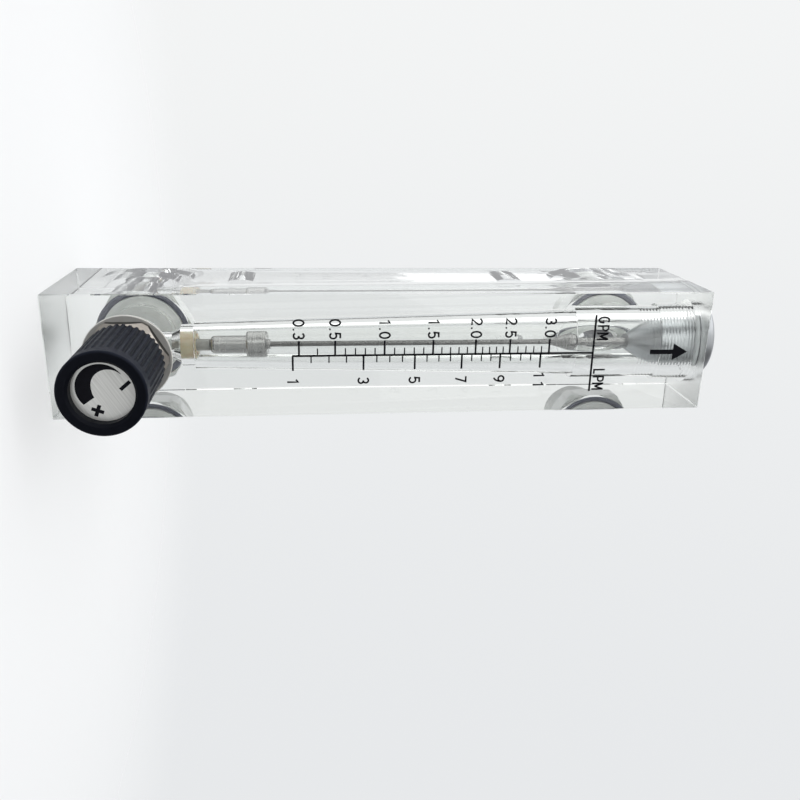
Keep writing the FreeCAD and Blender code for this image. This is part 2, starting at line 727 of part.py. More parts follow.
def make_knob():
    """The fluted knob: hollow back, flatted drive hole, cap recess and rounded rim."""
    cap_recess = "(cap_radius + slip_gap)"
    head_recess = "(knob_screw_head_radius + 4 * slip_gap)"
    screw_hole = "(knob_screw_radius + 2 * slip_gap)"
    body = turned("knob", [
        ("knob_hollow_radius", KNOB_REAR),
        ("knob_radius", KNOB_REAR),
        ("knob_radius", KNOB_FRONT),
        (f"{cap_recess} + knob_rim_chamfer", KNOB_FRONT),
        (cap_recess, f"{KNOB_FRONT} - knob_rim_chamfer"),
        (cap_recess, CAP_FLOOR),
        (head_recess, CAP_FLOOR),
        (head_recess, SCREW_SEAT),
        (screw_hole, SCREW_SEAT),
        (screw_hole, HOLLOW_FLOOR),
        ("knob_hollow_radius", HOLLOW_FLOOR),
    ])
    rim = rims(body.Shape, "knob_radius", KNOB_FRONT)
    dress(body, "Fillet", "knob_rim", rim, "knob_rim_rounding")
    drive = drive_outline(new_sketch(body, "drive_outline", "XY_Plane", HOLLOW_FLOOR))
    socket = cut(body, "Pocket", "drive_hole", drive, Reversed=True)
    socket.setExpression("Length", bound("knob_drive_length"))
    doc.recompute()

    flute = new_sketch(body, "flute_outline", "XZ_Plane")
    centre = "(knob_radius + flute_sink)"
    axis = upright_line(flute, centre)
    outline(flute, [
        (centre, f"{KNOB_REAR} - 1"),
        (f"{centre} - flute_radius", f"{KNOB_REAR} - 1"),
        (f"{centre} - flute_radius", f"{FLUTE_END} - flute_radius"),
        (f"{centre} - flute_radius / 2", f"{FLUTE_END} - flute_radius / 7"),
        (centre, FLUTE_END),
    ])
    groove = cut(body, "Groove", "flute", flute, ReferenceAxis=axis, Angle=360)
    pattern = around(body, "flutes", groove, "flute_count")
    pattern.Axis = (drive, ["N_Axis"])
    doc.recompute()
    return on_valve_axis(body)


def upright_line(sketch, across):
    """A construction line along the sketch's second axis, at a distance across."""
    place = value(across)
    line = sketch.addGeometry(
        Part.LineSegment(FreeCAD.Vector(place, -1, 0), FreeCAD.Vector(place, 1, 0)), True)
    for point in (1, 2):
        pin(sketch, "DistanceX", line, point, across)
        pin(sketch, "DistanceY", line, point, str(2 * point - 3))
    return (sketch, ["Axis0"])


def drive_outline(sketch):
    """A circle with one flat, a slip fit around the stem's end."""
    radius = value("stem_radius + slip_gap")
    flat = value("stem_flat + slip_gap")
    half_angle = math.acos(flat / radius)
    turn = Part.Circle(FreeCAD.Vector(0, 0, 0), FreeCAD.Vector(0, 0, 1), radius)
    bow = sketch.addGeometry(Part.ArcOfCircle(turn, half_angle, 2 * math.pi - half_angle), False)
    half_chord = radius * math.sin(half_angle)
    line = sketch.addGeometry(Part.LineSegment(
        FreeCAD.Vector(flat, -half_chord, 0), FreeCAD.Vector(flat, half_chord, 0)), False)
    sketch.addConstraint(Sketcher.Constraint("Coincident", bow, 2, line, 1))
    sketch.addConstraint(Sketcher.Constraint("Coincident", line, 2, bow, 1))
    sketch.addConstraint(Sketcher.Constraint("Coincident", bow, 3, -1, 1))
    sketch.addConstraint(Sketcher.Constraint("Vertical", line))
    size = sketch.addConstraint(Sketcher.Constraint("Radius", bow, radius))
    sketch.setExpression(f"Constraints[{size}]", bound("stem_radius + slip_gap"))
    pin(sketch, "DistanceX", line, 1, "stem_flat + slip_gap")
    return sketch


def make_knob_cap():
    """The brushed disc in the knob's front."""
    cap = doc.addObject("Part::Cylinder", "knob_cap")
    cap.Label = "knob_cap"
    cap.setExpression("Radius", bound("cap_radius"))
    cap.setExpression("Height", bound("cap_thickness"))
    return stand(cap, f"-body_depth / 2 - {CAP_FLOOR}", "inlet_height", 90)


def make_knob_screw():
    """The screw under the cap that holds the knob on the stem."""
    body = turned("knob_screw", [
        ("0", f"{SCREW_SEAT} - knob_screw_length"),
        ("knob_screw_radius", f"{SCREW_SEAT} - knob_screw_length"),
        ("knob_screw_radius", SCREW_SEAT),
        ("knob_screw_head_radius", SCREW_SEAT),
        ("knob_screw_head_radius", f"{SCREW_SEAT} + knob_screw_head_length"),
        ("0", f"{SCREW_SEAT} + knob_screw_head_length"),
    ])
    return on_valve_axis(body)


parts = [
    make_body_block(),
    make_fitting("inlet_fitting", "inlet_height"),
    make_fitting("outlet_fitting", OUTLET_HEIGHT),
    make_fitting_seal("inlet_seal", "inlet_height"),
    make_fitting_seal("outlet_seal", OUTLET_HEIGHT),
    make_rod_holder(),
    make_lower_stop(),
    make_guide_rod(),
    make_upper_stop(),
    make_plug_sleeve(),
    make_float(),
    make_top_plug(),
    make_plug_seal(),
    make_valve_seat(),
    make_bonnet(),
    make_bonnet_washer(),
    make_bonnet_seal(),
    make_packing(),
    make_gland_nut(),
    make_stem_seal(),
    make_valve_stem(),
    make_knob(),
    make_knob_cap(),
    make_knob_screw(),
]

doc.recompute()
for item in doc.Objects:
    if "Invalid" in item.State or "Error" in item.State:
        raise RuntimeError(f"{item.Label} failed: {item.State}")
for part in parts:
    if part.Shape.isNull() or not part.Shape.isValid():
        raise RuntimeError(f"{part.Label} has no valid shape")

os.makedirs("parts", exist_ok=True)
for part in parts:
    part.Shape.exportStep(os.path.join("parts", part.Label + ".step"))
    box = part.Shape.BoundBox
    print(f"{part.Label:16s} x {box.XMin:7.2f} {box.XMax:7.2f}  y {box.YMin:7.2f} {box.YMax:7.2f}"
          f"  z {box.ZMin:7.2f} {box.ZMax:7.2f}  volume {part.Shape.Volume:10.1f}")
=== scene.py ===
import json
import math

import bmesh
import bpy
from mathutils import Matrix, Vector


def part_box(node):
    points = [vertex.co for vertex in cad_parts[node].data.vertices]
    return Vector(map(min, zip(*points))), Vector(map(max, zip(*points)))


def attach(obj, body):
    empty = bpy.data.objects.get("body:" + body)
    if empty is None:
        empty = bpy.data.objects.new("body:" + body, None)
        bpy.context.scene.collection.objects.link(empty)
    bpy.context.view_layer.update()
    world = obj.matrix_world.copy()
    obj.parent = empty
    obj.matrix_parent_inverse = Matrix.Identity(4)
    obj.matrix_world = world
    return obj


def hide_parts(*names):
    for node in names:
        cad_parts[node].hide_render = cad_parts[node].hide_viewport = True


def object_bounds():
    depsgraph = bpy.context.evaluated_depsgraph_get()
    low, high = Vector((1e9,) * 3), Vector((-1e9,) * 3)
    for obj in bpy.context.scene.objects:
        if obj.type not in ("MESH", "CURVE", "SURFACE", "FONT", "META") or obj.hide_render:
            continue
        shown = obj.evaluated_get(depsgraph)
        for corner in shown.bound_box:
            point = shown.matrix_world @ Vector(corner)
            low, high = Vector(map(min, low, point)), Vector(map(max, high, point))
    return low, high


# The flow meter stands on its inlet end: +Z is the flow direction, the scale and the valve
# knob face -Y, the two pipe fittings leave the back. All lengths are in metres.

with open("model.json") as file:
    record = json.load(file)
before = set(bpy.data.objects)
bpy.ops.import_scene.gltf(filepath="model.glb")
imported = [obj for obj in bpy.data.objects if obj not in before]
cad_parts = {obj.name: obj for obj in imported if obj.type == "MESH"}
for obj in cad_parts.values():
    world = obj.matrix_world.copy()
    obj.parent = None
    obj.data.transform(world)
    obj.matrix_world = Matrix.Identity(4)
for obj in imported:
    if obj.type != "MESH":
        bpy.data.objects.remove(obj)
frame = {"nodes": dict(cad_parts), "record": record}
cad_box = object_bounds()
nodes = frame["nodes"]

MM = 0.001
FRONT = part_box("body_block")[0].y
PLUG_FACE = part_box("body_block")[1].z
FLOOR = cad_box[0].z
CAP_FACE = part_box("knob_cap")[0].y
VALVE_AXIS = sum(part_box("knob_cap"), Vector()) / 2
TUBE_AXIS = Vector((0, 0, 0))


# ---------------------------------------------------------------- material nodes

def add(tree, kind, inputs=None, **properties):
    """A shader node; an input is a number, a colour, or the socket that feeds it."""
    made = tree.nodes.new("ShaderNode" + kind)
    for key, setting in properties.items():
        setattr(made, key, setting)
    for key, setting in (inputs or {}).items():
        if isinstance(setting, bpy.types.NodeSocket):
            tree.links.new(setting, made.inputs[key])
        else:
            made.inputs[key].default_value = setting
    return made


def maths(tree, operation, *values):
    """The result of one maths node."""
    return add(tree, "Math", dict(enumerate(values)), operation=operation).outputs[0]


def new_material(name, **settings):
    """A material and its Principled shader; settings name the shader's inputs."""
    material = bpy.data.materials.new(name)
    material.use_nodes = True
    principled = material.node_tree.nodes["Principled BSDF"]
    for key, setting in settings.items():
        principled.inputs[key.replace("_", " ")].default_value = setting
    return material, material.node_tree, principled


def grain(tree, scale, stretch=(1, 1, 1), turn=(0, 0, 0), detail=3.0):
    """Noise in the object's own place, drawn out along one direction if asked."""
    place = add(tree, "TexCoord").outputs["Object"]
    mapped = add(tree, "Mapping", {"Vector": place, "Scale": stretch, "Rotation": turn},
                 vector_type="TEXTURE")
    noise = add(tree, "TexNoise", {
        "Vector": mapped.outputs["Vector"], "Scale": scale, "Detail": detail})
    return noise.outputs[0]


def around_axis(tree, centre, axis):
    """(radius, distance along, angle) of the shaded point about a Y or Z axis."""
    place = add(tree, "TexCoord").outputs["Object"]
    offset = add(tree, "VectorMath", {0: place, 1: tuple(centre)}, operation="SUBTRACT")
    parts = add(tree, "SeparateXYZ", {0: offset.outputs[0]}).outputs
    across = parts["Y"] if axis == "Z" else parts["Z"]
    along = parts["Z"] if axis == "Z" else parts["Y"]
    square = maths(tree, "ADD", maths(tree, "MULTIPLY", parts["X"], parts["X"]),
                   maths(tree, "MULTIPLY", across, across))
    return (maths(tree, "SQRT", square), along,
            maths(tree, "ARCTAN2", across, parts["X"]))


def lathe_lines(tree, centre, axis, scale):
    """Fine lines that a turning tool leaves: they change with radius and length only."""
    radius, along, _ = around_axis(tree, centre, axis)
    place = add(tree, "CombineXYZ", {0: radius, 1: along})
    noise = add(tree, "TexNoise", {"Vector": place.outputs[0], "Scale": scale, "Detail": 4.0})
    return noise.outputs[0]


def within(tree, number, low, high):
    """1 where the number lies between two bounds, else 0."""
    return maths(tree, "MULTIPLY", maths(tree, "GREATER_THAN", number, low),
                 maths(tree, "LESS_THAN", number, high))


def thread(tree, centre, axis, pitch, radii, span):
    """Height of a screw thread's ridges, only between two radii and over a length."""
    radius, along, angle = around_axis(tree, centre, axis)
    turns = maths(tree, "SUBTRACT", maths(tree, "DIVIDE", along, pitch),
                  maths(tree, "DIVIDE", angle, math.tau))
    wave = maths(tree, "PINGPONG", turns, 0.5)
    inside = maths(tree, "MULTIPLY", within(tree, radius, *radii), within(tree, along, *span))
    return maths(tree, "MULTIPLY", wave, inside)


def bump(tree, principled, height, distance, strength, before=None):
    """Relief from a height, on top of an earlier relief if there is one."""
    inputs = {"Height": height, "Distance": distance, "Strength": strength}
    if before is not None:
        inputs["Normal"] = before
    relief = add(tree, "Bump", inputs).outputs["Normal"]
    tree.links.new(relief, principled.inputs["Normal"])
    return relief


def vary(tree, principled, factor, colours, roughness):
    """Colour and roughness that run between two values with a noise factor."""
    spread = add(tree, "MapRange", {
        "Value": factor, "From Min": 0.3, "From Max": 0.7}).outputs["Result"]
    tint = add(tree, "Mix", {
        "Factor": spread, "A": (*colours[0], 1), "B": (*colours[1], 1)}, data_type="RGBA")
    tree.links.new(tint.outputs["Result"], principled.inputs["Base Color"])
    rough = add(tree, "MapRange", {
        "Value": factor, "From Min": 0.3, "From Max": 0.7,
        "To Min": roughness[0], "To Max": roughness[1]})
    tree.links.new(rough.outputs["Result"], principled.inputs["Roughness"])


def blend(tree, principled, factor, colour):
    """Mixes another colour over the base colour."""
    before = principled.inputs["Base Color"].links[0].from_socket
    mixed = add(tree, "Mix", {"Factor": factor, "A": before, "B": colour}, data_type="RGBA")
    tree.links.new(mixed.outputs["Result"], principled.inputs["Base Color"])


def shade(tree, principled, share):
    """Darkens the colour by a share that changes over the surface."""
    colour = principled.inputs["Base Color"].links[0].from_socket
    darker = add(tree, "Mix", {"Factor": 1.0, "A": colour, "B": share},
                 data_type="RGBA", blend_type="MULTIPLY")
    tree.links.new(darker.outputs["Result"], principled.inputs["Base Color"])


def seen_directly(tree):
    """1 for what the camera sees, straight or through clear material, else 0."""
    path = add(tree, "LightPath")
    return maths(tree, "MAXIMUM", path.outputs["Is Camera Ray"],
                 path.outputs["Is Transmission Ray"])


# ---------------------------------------------------------------- materials by slot

FINE_PITCH = 1.0 * MM
PLUG_THREAD_RADII = (11.0 * MM, 12.2 * MM)
PLUG_THREAD_TOP = -1.9 * MM
PLUG_THREAD_END = -11.9 * MM
PLUG_BORE_THREAD_END = -18.5 * MM
PLUG_SEAL_ZONE = 4 * MM
BONNET_THREAD_RADII = (8.8 * MM, 9.2 * MM)
BONNET_THREAD_SPAN = (1.7 * MM, 11.9 * MM)
FACE_SKIN = 0.02 * MM
WASHER_RIM = (12.1 * MM, 12.4 * MM)
ROD_EDGE = 1.25 * MM
UPPER_STOP_BOTTOM = 146.4 * MM
HEX_EDGE_RADIUS = 11.57 * MM
FLUTE_ROOT = 10.4 * MM
FLUTE_CREST = 10.95 * MM
BRUSHING = (0, math.radians(-32), 0)


def clear_acrylic():
    """Polished acrylic, its two ends milled matt, threads cut in its bores; a light shadow."""
    material, tree, principled = new_material(
        "clear_acrylic", Base_Color=(0.885, 0.90, 0.888, 1), IOR=1.49,
        Transmission_Weight=1.0)
    _, along, _ = around_axis(tree, TUBE_AXIS, "Z")
    inner = within(tree, along, FACE_SKIN, PLUG_FACE - FACE_SKIN)
    gloss = add(tree, "MapRange", {"Value": inner, "To Min": 0.28, "To Max": 0.012})
    tree.links.new(gloss.outputs["Result"], principled.inputs["Roughness"])
    ripples = bump(tree, principled, grain(tree, 90, detail=1.0), 0.00002, 0.4)
    plug_thread = thread(tree, (0, 0, PLUG_FACE), "Z", FINE_PITCH,
                         PLUG_THREAD_RADII, (PLUG_BORE_THREAD_END, PLUG_THREAD_TOP))
    bonnet_thread = thread(tree, (0, FRONT, VALVE_AXIS.z), "Y", FINE_PITCH,
                           BONNET_THREAD_RADII, BONNET_THREAD_SPAN)
    both = maths(tree, "ADD", plug_thread, bonnet_thread)
    bump(tree, principled, both, 0.3 * MM, 0.3, before=ripples)
    shadow = add(tree, "LightPath").outputs["Is Shadow Ray"]
    clear = add(tree, "BsdfTransparent", {"Color": (0.86, 0.88, 0.87, 1)})
    mixed = add(tree, "MixShader", {
        0: shadow, 1: principled.outputs[0], 2: clear.outputs[0]})
    tree.links.new(mixed.outputs[0], tree.nodes["Material Output"].inputs["Surface"])
    return material


def moulded(name, colours, **settings):
    """Moulded plastic with a faint orange-peel."""
    material, tree, principled = new_material(name, **settings)
    factor = grain(tree, 220, detail=2.0)
    vary(tree, principled, factor, colours, (0.30, 0.42))
    bump(tree, principled, factor, 0.00005, 0.5)
    return material


def white_abs():
    return moulded("white_abs", ((0.83, 0.84, 0.82), (0.87, 0.87, 0.86)), Coat_Weight=0.1)


def bore_painted_shade():
    """The fittings' bore in painted shade: a slate-grey that stands for the shade down the
    bore.
    """
    return moulded("bore_painted_shade", ((0.120, 0.125, 0.155), (0.160, 0.165, 0.195)))


def seal_rubber():
    """Slate-blue seal rubber; the plug's seal is a paler silicone."""
    material, tree, principled = new_material("seal_rubber")
    factor = grain(tree, 900)
    vary(tree, principled, factor, ((0.130, 0.135, 0.178), (0.160, 0.165, 0.208)), (0.5, 0.65))
    _, along, _ = around_axis(tree, TUBE_AXIS, "Z")
    pale = maths(tree, "GREATER_THAN", along, PLUG_FACE - PLUG_SEAL_ZONE)
    blend(tree, principled, pale, (0.50, 0.52, 0.53, 1))
    bump(tree, principled, factor, 0.00002, 0.5)
    return material


def amber_plastic():
    """The rod holder's pale tan plastic, slightly translucent."""
    material, tree, principled = new_material(
        "amber_plastic", Subsurface_Weight=0.25, Subsurface_Scale=0.002)
    factor = grain(tree, 300)
    vary(tree, principled, factor, ((0.46, 0.385, 0.25), (0.53, 0.455, 0.32)), (0.32, 0.45))
    bump(tree, principled, lathe_lines(tree, TUBE_AXIS, "Z", 4000), 0.00002, 0.4)
    return material


def pale_plastic():
    """Soft plastic of the washer, packing, seat and lower stop, darkened everywhere but at the
    washer's rim; on the washer this is painted shade beside the hexagon.
    """
    material, tree, principled = new_material("pale_plastic")
    factor = grain(tree, 350)
    vary(tree, principled, factor, ((0.66, 0.65, 0.61), (0.74, 0.73, 0.70)), (0.4, 0.55))
    radius, _, _ = around_axis(tree, VALVE_AXIS, "Y")
    rim = within(tree, radius, *WASHER_RIM)
    # Painted shade: the colour is cut to 0.42 everywhere but the washer's rim.
    shade(tree, principled, maths(tree, "MULTIPLY_ADD", rim, 0.58, 0.42))
    bump(tree, principled, factor, 0.00003, 0.4)
    return material


def turned_metal(name, colours, roughness, centre, axis, scale=5000, depth=0.000012):
    """Bare turned metal: fine lathe lines in colour, gloss and relief."""
    material, tree, principled = new_material(name, Metallic=1.0)
    lines = lathe_lines(tree, centre, axis, scale)
    vary(tree, principled, lines, colours, roughness)
    bump(tree, principled, lines, depth, 0.6)
    return material


def steel():
    """Stainless steel, with painted shade: its colour darkened on the thin guide rod and on the
    pieces above the scale.
    """
    material = turned_metal("steel", ((0.34, 0.335, 0.33), (0.44, 0.435, 0.43)), (0.16, 0.3),
                            TUBE_AXIS, "Z")
    tree = material.node_tree
    radius, along, _ = around_axis(tree, TUBE_AXIS, "Z")
    rod = maths(tree, "LESS_THAN", radius, ROD_EDGE)
    high = maths(tree, "GREATER_THAN", along, UPPER_STOP_BOTTOM)
    # Painted shade: the rod's colour cut by 55 %, the pieces above the scale by 30 %.
    painted_shade = maths(tree, "MULTIPLY", maths(tree, "MULTIPLY_ADD", rod, -0.55, 1.0),
                 maths(tree, "MULTIPLY_ADD", high, -0.3, 1.0))
    shade(tree, tree.nodes["Principled BSDF"], painted_shade)
    return material


def plated():
    """Nickel plating, with a painted dark reflection on the hexagon's flats; white sealing tape
    inside the block.
    """
    material = turned_metal("plated", ((0.25, 0.23, 0.205), (0.33, 0.305, 0.275)), (0.10, 0.18),
                            VALVE_AXIS, "Y", scale=2500, depth=0.000008)
    tree = material.node_tree
    principled = tree.nodes["Principled BSDF"]
    gloss = principled.inputs["Roughness"].links[0].from_socket
    normal = add(tree, "SeparateXYZ", {0: add(tree, "NewGeometry").outputs["True Normal"]})
    level = maths(tree, "ABSOLUTE", normal.outputs["Y"])
    radius, along, _ = around_axis(tree, (0, FRONT, VALVE_AXIS.z), "Y")
    # Painted reflection: the hexagon's flats get a near-black colour, as if they mirrored dim
    # surroundings.
    flats_painted_dark = maths(tree, "MULTIPLY", maths(tree, "LESS_THAN", level, 0.2),
                 maths(tree, "LESS_THAN", radius, HEX_EDGE_RADIUS))
    blend(tree, principled, flats_painted_dark, (0.045, 0.040, 0.036, 1))
    taped = maths(tree, "GREATER_THAN", along, FACE_SKIN)
    blend(tree, principled, taped, (0.84, 0.85, 0.83, 1))
    tree.links.new(maths(tree, "SUBTRACT", 1.0, taped), principled.inputs["Metallic"])
    rough = maths(tree, "ADD", gloss, maths(tree, "MULTIPLY", taped, 0.4))
    tree.links.new(rough, principled.inputs["Roughness"])
    return material


def brass():
    return turned_metal("brass", ((0.66, 0.50, 0.26), (0.74, 0.59, 0.33)), (0.2, 0.34),
                        VALVE_AXIS, "Y")


def plug_metal():
    """Satin turned plug with its thread."""
    material = turned_metal("plug_metal", ((0.35, 0.365, 0.38), (0.47, 0.485, 0.50)),
                            (0.3, 0.44), TUBE_AXIS, "Z", scale=3500)
    tree = material.node_tree
    principled = tree.nodes["Principled BSDF"]
    ridges = thread(tree, (0, 0, PLUG_FACE), "Z", FINE_PITCH,
                    PLUG_THREAD_RADII, (PLUG_THREAD_END, PLUG_THREAD_TOP))
    bump(tree, principled, ridges, 0.4 * MM, 0.45,
         before=principled.inputs["Normal"].links[0].from_socket)
    return material


def knob_plastic():
    """Satin moulded plastic, navy black, with painted shade down in the flutes."""
    material, tree, principled = new_material("knob_plastic", Specular_IOR_Level=0.07)
    factor = grain(tree, 700)
    vary(tree, principled, factor, ((0.0058, 0.0078, 0.0150), (0.0088, 0.0112, 0.0200)),
         (0.40, 0.52))
    radius, _, _ = around_axis(tree, VALVE_AXIS, "Y")
    # Painted shade: the colour darkens towards the flutes' roots.
    depth = add(tree, "MapRange", {
        "Value": radius, "From Min": FLUTE_ROOT, "From Max": FLUTE_CREST,
        "To Min": 0.35, "To Max": 1.0})
    shade(tree, principled, depth.outputs["Result"])
    fine = bump(tree, principled, grain(tree, 2600, detail=1.0), 0.00003, 0.35)
    bump(tree, principled, factor, 0.00003, 0.2, before=fine)
    return material


def cap_metal():
    """Aluminium disc, brushed in one slanting direction."""
    material, tree, principled = new_material("cap_metal", Metallic=0.6, Anisotropic=0.5)
    factor = grain(tree, 2400, stretch=(40, 1, 1), turn=BRUSHING, detail=6.0)
    vary(tree, principled, factor, ((0.62, 0.62, 0.59), (0.80, 0.80, 0.77)), (0.28, 0.42))
    bump(tree, principled, factor, 0.00002, 0.5)
    return material


def print_ink():
    """Black screen print, slightly uneven."""
    material, tree, principled = new_material("print_ink", Specular_IOR_Level=0.08)
    factor = grain(tree, 1500)
    vary(tree, principled, factor, ((0.004, 0.004, 0.006), (0.008, 0.008, 0.011)), (0.6, 0.8))
    return material


MATERIALS = {make.__name__: make() for make in (
    clear_acrylic, white_abs, seal_rubber, amber_plastic, pale_plastic, steel, plated,
    brass, plug_metal, knob_plastic, cap_metal)}
# Painted shade for the fittings' bores.
BORE_SHADE = bore_painted_shade()
INK = print_ink()


def finish_nodes():
    """Every CAD node takes the material of its slot in the record."""
    for part in frame["record"]["subparts"]:
        mesh = nodes[part["node"]].data
        mesh.materials.clear()
        mesh.materials.append(MATERIALS[part["material_slot"]])


# ---------------------------------------------------------------- pieces

def new_piece(name, mesh, material, body):
    """A piece that rides on a CAD body."""
    piece = bpy.data.objects.new(name, mesh)
    bpy.context.scene.collection.objects.link(piece)
    mesh.materials.clear()
    mesh.materials.append(material)
    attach(piece, body)
    return piece


def rings_mesh(name, rings):
    """A closed skin through rings of points, the last joined back to the first."""
    count = len(rings[0])
    points = [point for ring in rings for point in ring]
    faces = []
    for row in range(len(rings)):
        here, there = row * count, (row + 1) % len(rings) * count
        for step in range(count):
            following = (step + 1) % count
            faces.append((here + step, there + step, there + following, here + following))
    mesh = bpy.data.meshes.new(name)
    mesh.from_pydata(points, [], faces)
    mesh.polygons.foreach_set("use_smooth", [True] * len(mesh.polygons))
    mesh.set_sharp_from_angle(angle=math.radians(32))
    return mesh


HEX_FLAT = 14.0 * MM
HEX_CORNER = 15.8 * MM
HEX_LENGTH = 6.0 * MM
BORE = 6.0 * MM
BORE_CHAMFER = 0.8 * MM
SHANK = 9.95 * MM
HUB = 12.2 * MM
HUB_DEPTH = 2.95 * MM
RELIEF = 9.2 * MM
RELIEF_LENGTH = 1.5 * MM
AIR_GAP = 0.05 * MM
THREAD_CREST = 10.48 * MM
THREAD_DEPTH = 1.0 * MM
THREAD_PITCH = 1.814 * MM
THREAD_LENGTH = 14.0 * MM
THREAD_CHAMFER = 1.1 * MM
THREAD_STEP = 0.16 * MM
TAPER = 1 / 32
COLUMNS = 120


def hex_radius(angle, corner):
    """Radius of a hexagon with rounded-off corners, its flats facing +X and -X."""
    off = (angle + math.pi / 6) % (math.pi / 3) - math.pi / 6
    return min(corner, HEX_FLAT / math.cos(off))


def threaded_fitting(node):
    """The white fitting with its tapered pipe thread, and its bore darkened with painted shade.
    """
    low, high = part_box(node)
    height = (low.z + high.z) / 2
    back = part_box("body_block")[1].y
    inner_end = low.y + AIR_GAP
    hex_end = back + HEX_LENGTH
    start = hex_end + RELIEF_LENGTH
    end = high.y

    def round_row(radius, depth):
        return lambda angle: (radius, depth)

    def hex_row(inset, depth):
        return lambda angle: (min(hex_radius(angle, HEX_CORNER), HEX_CORNER - inset), depth)

    def thread_row(depth):
        def point(angle):
            turns = (depth - start) / THREAD_PITCH - angle / math.tau
            groove = min(1, 1.25 * abs(2 * (turns % 1) - 1))
            fade = min(1, (depth - start) / THREAD_PITCH)
            crest = THREAD_CREST - (depth - start) * TAPER
            chamfer = THREAD_CREST - THREAD_CHAMFER + (end - depth)
            return min(crest - THREAD_DEPTH * groove * fade, chamfer), depth
        return point

    rows = [
        round_row(BORE, inner_end), round_row(SHANK, inner_end),
        round_row(SHANK, back - HUB_DEPTH), round_row(HUB, back - HUB_DEPTH),
        round_row(HUB, back + AIR_GAP), hex_row(0.9 * MM, back + AIR_GAP),
        hex_row(0, back + 0.5 * MM),
        hex_row(0, hex_end - 0.6 * MM), hex_row(1.2 * MM, hex_end),
        round_row(RELIEF, hex_end), round_row(RELIEF, start - 0.01 * MM),
    ]
    steps = round(THREAD_LENGTH / THREAD_STEP)
    rows += [thread_row(start + THREAD_LENGTH * step / steps) for step in range(steps + 1)]
    rows += [round_row(BORE + BORE_CHAMFER, end), round_row(BORE, end - BORE_CHAMFER)]

    rings = []
    for row in rows:
        ring = []
        for step in range(COLUMNS):
            angle = math.tau * step / COLUMNS
            radius, depth = row(angle)
            ring.append((radius * math.cos(angle), depth, height - radius * math.sin(angle)))
        rings.append(ring)
    mesh = rings_mesh(node + "_threaded", rings)
    piece = new_piece(node + "_threaded", mesh, MATERIALS["white_abs"], "meter_body")
    # The bore's faces take the slate-grey of painted shade.
    mesh.materials.append(BORE_SHADE)
    for face in mesh.polygons[-COLUMNS:]:
        face.material_index = 1
    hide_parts(node)


# ---------------------------------------------------------------- print on the front face

INK_LIFT = 0.02 * MM
LINE = 0.55 * MM
BASE_LINE = (67.3 * MM, 155.0 * MM)
CROSS_BAR = (-11.4 * MM, 11.9 * MM)
UPPER_MAJOR = {"0.3": 69.2, "0.5": 79.4, "1.0": 93.5, "1.5": 107.5, "2.0": 119.9,
               "2.5": 130.0, "3.0": 141.7}
LOWER_MAJOR = {"1": 67.4, "3": 87.5, "5": 102.3, "7": 116.0, "9": 127.3, "11": 139.3}
MAJOR_TICK = 4.4 * MM
MINOR_TICK = 2.15 * MM
TICK_SPREAD = 0.04
CAP_HEIGHT = 3.34 * MM
UNIT_HEIGHT = 3.5 * MM
UNITS_AT = 157.45 * MM
# The arrow's middle, then half width, bottom and top of its shaft and of its head.
ARROW_AT = 178.0 * MM
ARROW_SHAFT = (0.7 * MM, -5.5 * MM, 1.5 * MM)
ARROW_HEAD = (2.6 * MM, 1.5 * MM, 6.0 * MM)
# A flat drawing, X right and Y up, is placed on the block's front face.
ON_FRONT = Matrix(((1, 0, 0, 0), (0, 0, -1, FRONT), (0, 1, 0, 0), (0, 0, 0, 1)))


def add_film(shape, outline):
    """A film of ink on the front face inside an outline of (across, up) corners."""
    low, high = ([shape.verts.new(ON_FRONT @ Vector((*corner, depth))) for corner in outline]
                 for depth in (-INK_LIFT / 2, INK_LIFT))
    shape.faces.new(low[::-1])
    shape.faces.new(high)
    for step in range(len(outline)):
        following = (step + 1) % len(outline)
        shape.faces.new((low[step], low[following], high[following], high[step]))


def add_bar(shape, across, up):
    """A printed bar between two pairs of bounds."""
    add_film(shape, [(across[x], up[y]) for x, y in ((0, 0), (1, 0), (1, 1), (0, 1))])


def bend(centre, radii, first, last, steps=16):
    """Points on an ellipse from one angle to another, in degrees."""
    angles = (math.radians(first + (last - first) * step / steps) for step in range(steps + 1))
    return [(centre[0] + radii[0] * math.cos(angle), centre[1] + radii[1] * math.sin(angle))
            for angle in angles]


# Each sign is drawn with a pen inside a cell 1 high, with the cell's middle at (0, 0).
SIGNS = {
    "0": [bend((0, 0), (0.25, 0.435), 90, 450, 32)],
    "1": [[(-0.17, 0.24), (0.05, 0.42), (0.05, -0.5)]],
    "2": [bend((0, 0.19), (0.24, 0.245), 165, -35) + [(-0.22, -0.435), (0.28, -0.435)]],
    "3": [bend((-0.01, 0.21), (0.22, 0.225), 155, -90),
          bend((-0.01, -0.21), (0.25, 0.225), 90, -155)],
    "5": [[(0.22, 0.435), (-0.17, 0.435), (-0.21, 0.05)]
          + bend((0, -0.16), (0.25, 0.275), 125, -150)],
    "7": [[(-0.26, 0.435), (0.22, 0.435), (-0.07, -0.5)]],
    "9": [bend((0, 0.19), (0.245, 0.245), 0, 360, 28),
          bend((-0.12, 0.19), (0.365, 0.63), 0, -85)],
    ".": [[(0, -0.5), (0, -0.37)]],
    "G": [bend((0, 0), (0.29, 0.435), 48, 320, 26) + [(0.27, -0.04), (0.04, -0.04)]],
    "P": [[(-0.24, -0.5), (-0.24, 0.435)] + bend((0.02, 0.2), (0.23, 0.235), 90, -90)
          + [(-0.24, -0.035)]],
    "M": [[(-0.31, -0.5), (-0.31, 0.5)], [(-0.28, 0.45), (0, -0.25)],
          [(0, -0.25), (0.28, 0.45)], [(0.31, -0.5), (0.31, 0.5)]],
    "L": [[(-0.20, 0.5), (-0.20, -0.435), (0.24, -0.435)]],
}
STROKE = 0.52 * MM


